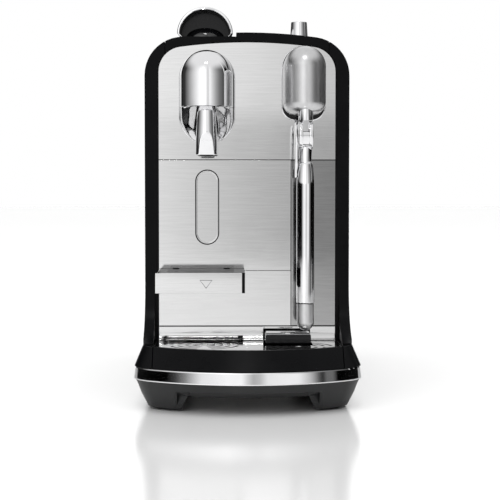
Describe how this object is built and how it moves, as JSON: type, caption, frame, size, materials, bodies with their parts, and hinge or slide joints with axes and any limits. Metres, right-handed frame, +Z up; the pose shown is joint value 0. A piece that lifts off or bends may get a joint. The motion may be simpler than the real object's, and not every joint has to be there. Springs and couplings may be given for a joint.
{
  "type": "pod coffee machine",
  "caption": "Free-standing pod coffee machine with lift lever, spout, steam wand, folding cup shelf, drip tray, used-pod container and lift-off water tank.",
  "frame": {"origin": "on the table under the middle of the machine's bounding box", "axes": "+X to the right seen from the front, +Y to the back, +Z up"},
  "size_m": [0.173, 0.393, 0.3089],
  "materials": {
    "black_housing": "fine satin",
    "grey_base": "fine grain",
    "chrome": "polished",
    "satin_metal": "satin",
    "brushed_steel": "fine brushed",
    "rubber": "matt",
    "plated_steel": "zinc plated",
    "inner_black": "gloss",
    "gloss_black": "piano gloss",
    "display_glass": "dark glass",
    "inner_grey": "moulded",
    "cast_aluminium": "die cast",
    "coil_tape": "taped coil",
    "board_green": "circuit board",
    "hose_silicone": "clear silicone",
    "copper": "drawn copper",
    "float_red": "gloss",
    "smoked_plastic": "smoked clear plastic"
  },
  "bodies": {
    "machine": {"base_frame": "grey_base", "base_trim": "chrome", "base_skirt": "black_housing", "rubber_feet": "rubber", "base_screws": "plated_steel", "left_side_panel": "black_housing", "right_side_panel": "black_housing", "top_cover": "black_housing", "rear_panel": "black_housing", "chassis": "inner_grey", "front_panel": "brushed_steel", "side_front_panel": "brushed_steel", "coffee_head_cap": "chrome", "coffee_head_base": "chrome", "coffee_spout": "chrome", "spout_nozzle": "inner_black", "steam_head": "satin_metal", "steam_flange": "chrome", "wand_socket": "chrome", "control_panel": "gloss_black", "display_glass": "display_glass", "brew_frame": "plated_steel", "capsule_chute": "inner_grey", "thermoblock": "cast_aluminium", "steam_heater": "cast_aluminium", "pump": "cast_aluminium", "flow_meter": "inner_grey", "solenoid_valve": "coil_tape", "circuit_boards": "board_green", "water_hoses": "hose_silicone", "steam_pipe": "copper", "tank_seat": "black_housing", "sensor_housing": "inner_black", "sensor_contact": "brushed_steel", "lever_pin": "plated_steel", "cord_gland": "inner_black"},
    "lever": {"lever_handle": "chrome", "lever_liner": "inner_black"},
    "brew_piston": {"brew_cage": "cast_aluminium"},
    "dial_carrier": {"dial_plunger": "inner_grey"},
    "dial": {"selection_dial": "chrome"},
    "coffee_key": {"coffee_button": "chrome"},
    "milk_key": {"milk_button": "chrome"},
    "temperature_key": {"temperature_button": "chrome"},
    "froth_key": {"froth_button": "chrome"},
    "tray": {"drip_tray": "black_housing", "drip_grid": "brushed_steel"},
    "float": {"tray_float": "float_red"},
    "container": {"capsule_container": "inner_black", "container_front": "brushed_steel", "grip_insert": "brushed_steel", "lower_front": "brushed_steel"},
    "cup_shelf": {"cup_support": "black_housing", "cup_support_trim": "brushed_steel"},
    "wand": {"wand_knuckle": "chrome", "wand_tube": "chrome", "wand_tip": "chrome"},
    "tank": {"water_tank": "smoked_plastic", "tank_valve": "inner_grey"},
    "tank_cover": {"tank_lid": "black_housing"}
  },
  "joints": [
    {"name": "lever_lift", "type": "hinge", "parent": "machine", "child": "lever", "pos_m": [-0.033, 0.038, 0.274], "axis": [-1, 0, 0], "range_deg": [0, 80]},
    {"name": "brew_piston_slide", "type": "slide", "parent": "machine", "child": "brew_piston", "axis": [0, 1, 0], "range_m": [0, 0.025]},
    {"name": "dial_push", "type": "slide", "parent": "machine", "child": "dial_carrier", "axis": [0, 0, -1], "range_m": [0, 0.001], "stiffness_N_per_m": 800, "springref_m": -0.0004},
    {"name": "dial_turn", "type": "hinge", "parent": "dial_carrier", "child": "dial", "pos_m": [0.0423, -0.08, 0.294], "axis": [0, 0, 1], "continuous": true},
    {"name": "coffee_press", "type": "slide", "parent": "machine", "child": "coffee_key", "axis": [0, 0, -1], "range_m": [0, 0.0008], "stiffness_N_per_m": 400, "springref_m": -0.0005},
    {"name": "milk_press", "type": "slide", "parent": "machine", "child": "milk_key", "axis": [0, 0, -1], "range_m": [0, 0.0008], "stiffness_N_per_m": 400, "springref_m": -0.0005},
    {"name": "temperature_press", "type": "slide", "parent": "machine", "child": "temperature_key", "axis": [0, 0, -1], "range_m": [0, 0.0008], "stiffness_N_per_m": 400, "springref_m": -0.0005},
    {"name": "froth_press", "type": "slide", "parent": "machine", "child": "froth_key", "axis": [0, 0, -1], "range_m": [0, 0.0008], "stiffness_N_per_m": 400, "springref_m": -0.0005},
    {"name": "tray_slide", "type": "slide", "parent": "machine", "child": "tray", "axis": [0, -1, 0], "range_m": [0, 0.13]},
    {"name": "float_rise", "type": "slide", "parent": "tray", "child": "float", "axis": [0, 0, 1], "range_m": [0, 0.0015]},
    {"name": "container_slide", "type": "slide", "parent": "machine", "child": "container", "axis": [0, -1, 0], "range_m": [0, 0.12]},
    {"name": "cup_shelf_fold", "type": "hinge", "parent": "container", "child": "cup_shelf", "pos_m": [-0.03, -0.1185, 0.0995], "axis": [-1, 0, 0], "range_deg": [0, 90]},
    {"name": "wand_swing", "type": "hinge", "parent": "machine", "child": "wand", "pos_m": [0.044, -0.145, 0.2063], "axis": [-1, 0, 0], "range_deg": [0, 45]},
    {"name": "tank_lift", "type": "slide", "parent": "machine", "child": "tank", "axis": [0, 0, 1], "range_m": [0, 0.22]},
    {"name": "tank_lid_lift", "type": "slide", "parent": "tank", "child": "tank_cover", "axis": [0, 0, 1], "range_m": [0, 0.03]}
  ],
  "couplings": [
    {"joint": "brew_piston_slide", "follows": "lever_lift", "m_per_rad": 0.017895}
  ]
}
